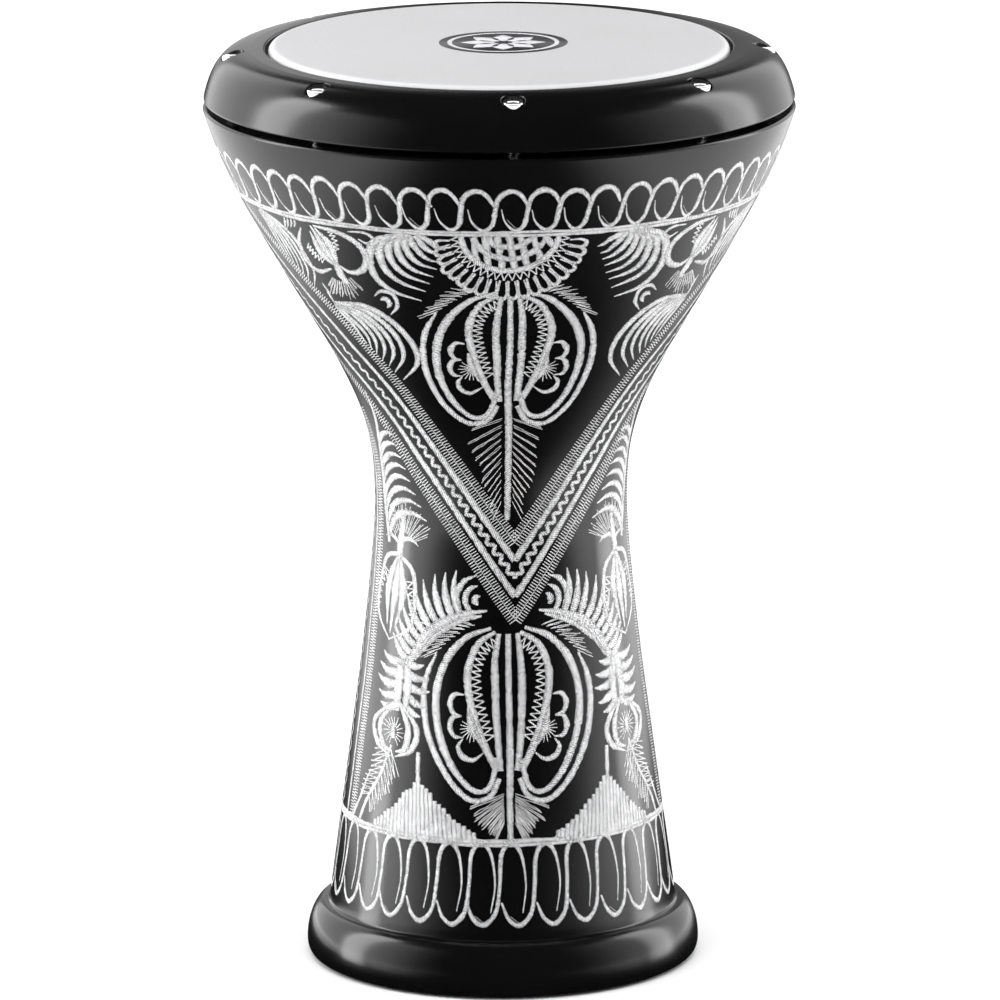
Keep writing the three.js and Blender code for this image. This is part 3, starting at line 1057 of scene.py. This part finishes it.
def flower(e, panel, top, join, stem_end, reach):
    """Tall open flower: stem, bars, petals with zigzags, cupped double sepals, small clouds.

    It goes from its top to its join with the stem. Reach scales its width.
    """
    tall = top - join

    def at(x, down):
        return (x * reach, top - tall * down)

    Pen(e, panel).stroke([(0, top - 1), (0.3, join), (0.6, (join + stem_end) / 2), (0.2, stem_end)],
                         [3.2, 4.0, 3.6, 3.2])
    for pen in halves(e, panel):
        skew = hand.uniform(0.95, 1.05)
        pen.stroke([at(4.4, 0.02), at(6.1, 0.25), at(6.3, 0.5), at(5.6, 0.8), at(4.0, 1.05)],
                   [2.6, 4.0, 4.3, 3.9, 3.2])
        petal = [at(6, 0.01), at(14.5 * skew, 0.10), at(19.5 * skew, 0.27), at(20 * skew, 0.42),
                 at(17.5 * skew, 0.62), at(12.5, 0.84), at(6.5, 1.04)]
        pen.stroke(petal, [2.2, 3.6, 4.4, 4.5, 4.2, 4.2, 3.4])
        zigzag(pen, petal[:6], 17, 1.4, 6.2, 1.5)
        bowl_in = [at(8, -0.02), at(20, 0.06), at(30.5, 0.25), at(35.8, 0.5), at(34.5, 0.78),
                   at(27.5, 1.04), at(17.5, 1.2), at(9.5, 1.17), at(5.4, 0.96)]
        pen.stroke(bowl_in, [1.8, 3.6, 4.5, 4.7, 4.5, 4.0, 3.0, 3.0, 3.4])
        bowl_out = [at(36, 0.20), at(41, 0.38), at(42.5, 0.58), at(40, 0.83), at(31.5, 1.1), at(19.5, 1.27),
                    at(9.5, 1.24), at(4.8, 1.1)]
        pen.stroke(bowl_out, [1.3, 3.6, 4.0, 4.0, 3.6, 3.0, 3.0, 3.0])
        comb(pen, at(17.4, 0.74), 50, 215, 10, 1.6, 6.4, 1.4)
        pen.stroke([at(19.4, 0.58), at(17.6, 0.72), at(13.2, 0.86)], [1.5, 5.0, 2.0])
        for cloud in CLOUDS:
            pen.stroke([at(*place) for place in cloud], [0.8, 2.6, 3.4, 2.6, 0.5], wobble=0.1)
        for i in range(9):
            t = i / 8
            start = turn_point(at(15 + 19 * t, 0.0 + 0.22 * t**1.3), math.radians(30), 2.4)
            heading = math.radians(78 + 38 * t)
            for shift in (0, 1.3):
                root = turn_point(start, math.radians(60), shift)
                tip = turn_point(root, heading, hand.uniform(6.5, 10.5))
                pen.scratch(root, tip, [1.1, 0.7], 0.12)
        hairs = 13
        hair_top = top - tall * 1.22
        for i in range(hairs):
            t = i / (hairs - 1)
            z = hair_top + (stem_end + 9 - hair_top) * t
            heading = math.radians(112 + 42 * t**0.6)
            reach_out = (17 - 8.5 * t) * hand.uniform(0.85, 1.1)
            for shift in (0, 1.1):
                root = (2.6 + shift * 0.4, z - shift)
                pen.scratch(root, turn_point(root, heading, reach_out), [0.7, 1.0], 0.15)


# Outer and inner edge of each fan in an upper corner, then its feathers and their width
FEATHER_FANS = (
    (((58, 370.5), (70, 366), (73.5, 357), (70, 347), (61, 340), (46, 335.5)),
     ((50, 370.5), (46.5, 369.5), (43.5, 368), (41, 366.5), (38.5, 365), (35.5, 364)), 8, 5.6),
    (((97, 327.5), (77, 329.5), (61, 323), (50, 312), (47.5, 301), (55, 291)),
     ((96.5, 326.5), (91, 322), (87, 319), (83, 315.5), (80, 312.5), (76.5, 308.5)), 7, 4.9),
    (((150, 370.5), (133, 366), (121.5, 360), (113.5, 351), (109, 343), (110.5, 335)),
     ((152, 369.5), (146, 364), (142, 359), (138, 354), (135, 350), (131.5, 346)), 7, 3.9),
)


def arch(centre, radius, *degrees):
    """Places round a centre, at headings clockwise from upright."""
    return [turn_point(centre, math.radians(a), radius) for a in degrees]


def upper_corner(pen):
    """Fans of feathers and a bud between the sun and the chevron's arm."""
    for outer, inner, count, width in FEATHER_FANS:
        fan(pen, outer, inner, count, width)
    bud(pen, (100.3, 359), math.radians(39), 26, sepals=False)
    pen.stroke([(94, 351.5), (90.5, 346), (86.5, 340)], [4.2, 6.0, 4.4])
    hair(pen, (91, 349), 145, 232, 12, 8, 17)
    # curled sepals either side of the bud
    pen.stroke([(106, 369.5), (92, 368), (80, 363), (75, 356), (77, 349.5), (84, 347), (91, 350)],
               [1.4, 3.4, 4.4, 4.6, 4.2, 3.2, 1.4])
    pen.stroke([(115, 367), (117.5, 358), (114.5, 349.5), (106, 344.5), (96, 347)],
               [1.2, 3.4, 4.4, 3.8, 1.4])
    pen.stroke([(85, 369.5), (77, 369.5), (71.5, 367), (74.5, 364.3), (79.5, 366)],
               [0.8, 2.0, 2.6, 2.2, 0.8])
    for radius, width in ((6.8, 2.6), (2.6, 3.2)):
        places = arch((65, 332.5), radius, -150, -95, -40, 15, 60)
        pen.stroke(places, [0.5, width, width * 1.2, width, 0.4], wobble=0.1)
    pen.stroke([(104, 338), (100.5, 334), (97.5, 328)], [1.0, 3.0, 1.6])
    for i in range(4):
        leaf(pen, (127 - 2.6 * i, 370.5), math.radians(200), 7.5 - i, -0.9, 1.9)


def moons(pen):
    """Nested crescents beside the chevron's point."""
    for radius, width in ((11.5, 3.0), (7.0, 2.8), (2.6, 3.0)):
        places = arch((15.5, 185), radius, 8, 38, 68, 98, 125, 150)
        pen.stroke(places, [0.6, width, width * 1.25, width * 1.25, width, 0.5])


def lower_side(pen):
    """Plumes, a hanging bud, a leaf stalk and a small flower beside the lower flower."""
    rib = [(12, 180.5), (24, 177.5), (36, 172), (46, 163), (54, 151)]
    plume(pen, rib, 10, 19, -1.3, -0.8, 4.7, [1.2, 4.2, 6.2, 6.2, 4.2], 0.2)
    pen.stroke([(15, 178), (28, 174), (40, 166), (50, 155)], [1.4, 4.4, 5.0, 3.4])
    left_rib = [(57, 155), (59, 147), (60.5, 139), (61, 129)]
    plume(pen, left_rib, 5, 14, -0.8, -1.1, 5.2, 7.0)
    right_rib = [(56, 155), (54.5, 147), (54, 139), (56, 130)]
    plume(pen, right_rib, 5, 11, 0.75, 0.95, 4.8, 6.4)
    # small flower in a pear-shaped loop, its stem and hairs
    eye = (63.5, 119)
    for half, low, width in ((9.4, 109.5, 4.4), (14.6, 107, 4.0)):
        for way in (-1, 1):
            pen.stroke([(60, 134), (eye[0] + way * half, 122), (eye[0] + way * half * 0.8, 112),
                        (eye[0] + way * 1.5, low)], [0.9, width, width, 0.7], wobble=0.12)
    comb(pen, eye, -160, 150, 16, 2.6, 7.0, 1.4)
    pen.stroke([(63.2, 122.5), (63.8, 119), (64, 115.5)], [2.4, 4.4, 3.0], wobble=0.05)
    pen.stroke([(64.5, 112), (72, 98), (83, 84), (90, RING_LOW + 1)], [2.0, 2.6, 2.8, 2.4])
    pen.stroke([(80, 98), (88, 86), (97, RING_LOW + 1)], [1.0, 2.4, 2.2])
    for t in np.linspace(0.04, 0.9, 9):
        place, heading = point_along([(64.5, 112), (72, 98), (83, 84)], t)
        for way in (-1, 1):
            reach = hand.uniform(11, 14) * (1.05 - 0.35 * t)
            for part in (-0.1, 0.1):
                tip = turn_point(place, heading + way * 0.8 + part, reach)
                pen.scratch(place, tip, [0.9, 1.3], 0.12)
    # hanging bud with its hair of rays
    bud(pen, (63.5, 183), math.radians(170), 39)
    pen.stroke([(60.5, 200), (59, 210), (57, 220)], [5.2, 6.0, 2.2])
    hair(pen, (58, 206), -66, 50, 13, 7, 19.5)
    leaf(pen, (60, 207), math.radians(-30), 14, -1.6, 3.0)
    leaf(pen, (61, 207), math.radians(35), 12, 1.3, 2.6)
    # leaf stalk climbing beside the side band
    stalk = [(69, 206), (72, 220), (75, 236), (77, 252), (78, 266), (84, 280)]
    pen.stroke(stalk, [3.0, 4.4, 4.6, 4.2, 3.4, 1.2])
    for i in range(8):
        place, heading = point_along(stalk, 0.02 + 0.085 * i)
        leaf(pen, place, heading - 0.1, 35 - 2.5 * i, -2.0 + 0.05 * i, 4.4 - 0.1 * i)


def pyramid(pen, apex_x):
    """Stepped mound of upright strokes on the lower ring, with a tall middle."""
    for i in range(-12, 13):
        x = apex_x + i * 2.35
        share = 1 - abs(i) / 12.5
        height = 3.5 + 24 * share**1.25
        if i == 0:
            height = 40
        lean = -0.05 * i
        height *= hand.uniform(0.95, 1.06)
        tip = (x + lean * height * 0.2, RING_LOW + height)
        pen.stroke([(x, RING_LOW - 0.3), tip], [3.2, 2.8], wobble=0.15)


def panels():
    """The front and back panels, each in an upper and a lower part."""
    upper = Engraving("engraving_upper_panels")
    lower = Engraving("engraving_lower_panels")
    for panel in PANELS:
        medallion(Pen(upper, panel))
        flower(upper, panel - 0.042, top=340.5, join=286, stem_end=223, reach=0.96)
        flower(lower, panel - 0.04, top=171, join=108.5, stem_end=RING_LOW, reach=0.98)
        for upper_pen, lower_pen in zip(halves(upper, panel), halves(lower, panel)):
            upper_corner(upper_pen)
            moons(lower_pen)
            lower_side(lower_pen)
            pyramid(lower_pen, 48)
    upper.piece()
    lower.piece()


def engraving():
    """All the ornament cut through the shell's lacquer."""
    border("engraving_top_loops", TOP_LOOP, count=54, low=373.8, high=394.5)
    border("engraving_low_loops", LOW_LOOP, count=31, low=33, high=71.5)
    rings()
    chevrons()
    side_bands()
    panels()


# ---------------------------------------------------------------- studio


def studio_floor():
    """A wide sheet of white paper that doesn't show in reflections."""
    n = Nodes("floor_paper")
    n.set(Base_Color=(0.93, 0.93, 0.93, 1), Roughness=1.0, Specular_IOR_Level=0.0)
    half = 14000
    corners = [(x * half, y * half, -0.3) for x, y in ((-1, -1), (1, -1), (1, 1), (-1, 1))]
    floor = new_object("studio_floor", corners, [(0, 1, 2, 3)], n.material)
    floor.visible_glossy = False


def studio_air(light, reflected):
    """An even pale surround, much dimmer in reflections."""
    air = bpy.data.worlds.new("studio_air")
    bpy.context.scene.world = air
    air.use_nodes = True
    tree = air.node_tree
    path = tree.nodes.new("ShaderNodeLightPath")
    mix = tree.nodes.new("ShaderNodeMix")
    mix.inputs[2].default_value = light
    mix.inputs[3].default_value = reflected
    tree.links.new(path.outputs["Is Glossy Ray"], mix.inputs[0])
    tree.links.new(mix.outputs[0], tree.nodes["Background"].inputs["Strength"])
    tree.nodes["Background"].inputs["Color"].default_value = (1, 1, 1, 1)


def add_light(name, kind, place, target, glossy=True):
    """A light that the camera doesn't see, aimed at a target."""
    data = bpy.data.lights.new(name, kind)
    light = bpy.data.objects.new(name, data)
    bpy.context.scene.collection.objects.link(light)
    light.location = place
    aim = Vector(target) - Vector(place)
    light.rotation_euler = aim.to_track_quat("-Z", "Y").to_euler()
    light.visible_camera = False
    light.visible_glossy = glossy
    return light


def softbox(name, place, target, size, brightness, other_edge=None):
    """A rectangular light whose face has one brightness, or shades across to another one."""
    light = add_light(name, "AREA", place, target)
    data = light.data
    data.shape = "RECTANGLE"
    data.size, data.size_y = size
    data.energy = math.pi * size[0] * size[1]
    data.use_nodes = True
    tree = data.node_tree
    shape = tree.nodes.new("ShaderNodeNewGeometry")
    split = tree.nodes.new("ShaderNodeSeparateXYZ")
    shading = tree.nodes.new("ShaderNodeMapRange")
    shading.interpolation_type = "SMOOTHSTEP"
    tree.links.new(shape.outputs["Parametric"], split.inputs[0])
    tree.links.new(split.outputs["X"], shading.inputs["Value"])
    shading.inputs["To Min"].default_value = brightness
    shading.inputs["To Max"].default_value = brightness if other_edge is None else other_edge
    tree.links.new(shading.outputs["Result"], tree.nodes["Emission"].inputs["Strength"])
    return light


def reflection(name, place, target, size, brightness, other_edge=None):
    """A softbox that is seen only in reflections and lights nothing."""
    light = softbox(name, place, target, size, brightness, other_edge)
    light.visible_diffuse = False
    return light


def overhead(strength, spread_degrees):
    """Broad light from above that leaves no highlight."""
    light = add_light("overhead", "SUN", (0, -0.6, 3), (0, 0, 0), glossy=False)
    light.data.energy = strength
    light.data.angle = math.radians(spread_degrees)


def only_on(light, objects):
    """Limits a light to some objects."""
    lit = bpy.data.collections.new(light.name + "_receivers")
    for obj in objects:
        lit.objects.link(obj)
    light.light_linking.receiver_collection = lit


def camera():
    """A long lens about 5 m away, looking 13 degrees down with a slight roll."""
    place = (-0.00046, -4.91597, 1.35335)
    pitch = 0.22677
    roll = -0.00428
    data = bpy.data.cameras.new("camera")
    data.sensor_width = 36
    data.lens = 384.62
    data.clip_end = 60
    cam = bpy.data.objects.new("camera", data)
    bpy.context.scene.collection.objects.link(cam)
    turn = Matrix.Rotation(math.pi / 2 - pitch, 4, "X") @ Matrix.Rotation(roll, 4, "Z")
    cam.matrix_world = Matrix.Translation(place) @ turn
    bpy.context.scene.camera = cam


def carried_over():
    """Metal materials and eased edges for the nodes kept from the frame."""
    metals = {"head_hoop": ALUMINIUM, "screw_washer": ZINC, "thread_insert": BRASS}
    for name, node in frame["nodes"].items():
        for start, material in metals.items():
            if name.startswith(start):
                node.data.materials.clear()
                node.data.materials.append(material)
                bevel = node.modifiers.new("eased_edges", "BEVEL")
                bevel.width = 0.15 * MM
                bevel.segments = 2
                bevel.limit_method = "ANGLE"


DRUM = (0, 0, 0.45)  # what the lights are aimed at
SCREW_HEADS = (0, 0, 0.43)


def low_card(name, x, width, brightness, other_edge=None):
    """A reflection on the floor beside the drum, facing up at the underside of the bowl."""
    reflection(name, (x, 0.5, 0.0), (x, 0.5, 1.0), (width, 2.6), brightness, other_edge)


def lighting():
    """Bright boxes level with the drum, walls behind them, fades in front, and low cards."""
    studio_air(0.45, 0.012)
    studio_floor()
    overhead(2.7, 70)
    softbox("left_box", (-2.6, 0.35, 1.1), DRUM, (0.95, 3.2), 6.5)
    softbox("right_box", (2.6, 0.75, 1.1), DRUM, (1.1, 3.2), 4.5)
    reflection("left_wall", (-2.4, 2.2, 1.3), DRUM, (3.6, 3.6), 1.6)
    reflection("right_wall", (2.4, 2.4, 1.3), DRUM, (3.4, 3.6), 1.4)
    reflection("left_fade", (-2.45, -1.2, 1.0), DRUM, (2.3, 3.0), 1.9, 0.1)
    reflection("right_fade", (2.4, -0.9, 1.0), DRUM, (2.0, 3.0), 0.1, 1.1)
    reflection("left_back", (-0.95, 3.2, 0.95), DRUM, (1.7, 1.6), 0.8, 0.05)
    reflection("right_back", (0.95, 3.2, 0.95), DRUM, (1.7, 1.6), 0.05, 0.3)
    low_card("left_card", -1.49, 1.9, 1.7)
    low_card("right_card", 1.49, 1.9, 1.7)
    low_card("left_near_card", -0.38, 0.32, 0.0, 1.7)
    low_card("right_near_card", 0.38, 0.32, 1.7, 0.0)


def screw_cards(screws):
    """Reflections behind, above and below that only the chromed screws show."""
    cards = [
        reflection("back_screw_card", (0, 3.0, 1.2), SCREW_HEADS, (3.0, 1.6), 1.6),
        reflection("top_screw_card", (0, -0.4, 2.4), SCREW_HEADS, (5.0, 4.0), 1.5),
        reflection("low_screw_card", (0, -2.3, 0.0), (0, -2.3, 1.0), (5.0, 3.4), 1.5),
    ]
    for card in cards:
        only_on(card, screws)


# ---------------------------------------------------------------- the whole scene

camera()
bpy.context.scene.view_settings.view_transform = "Standard"
lighting()
shell_casting()
collar_ring()
film_head()
screw_cards([tuning_screw(*screw) for screw in SCREWS])
badge()
engraving()
carried_over()
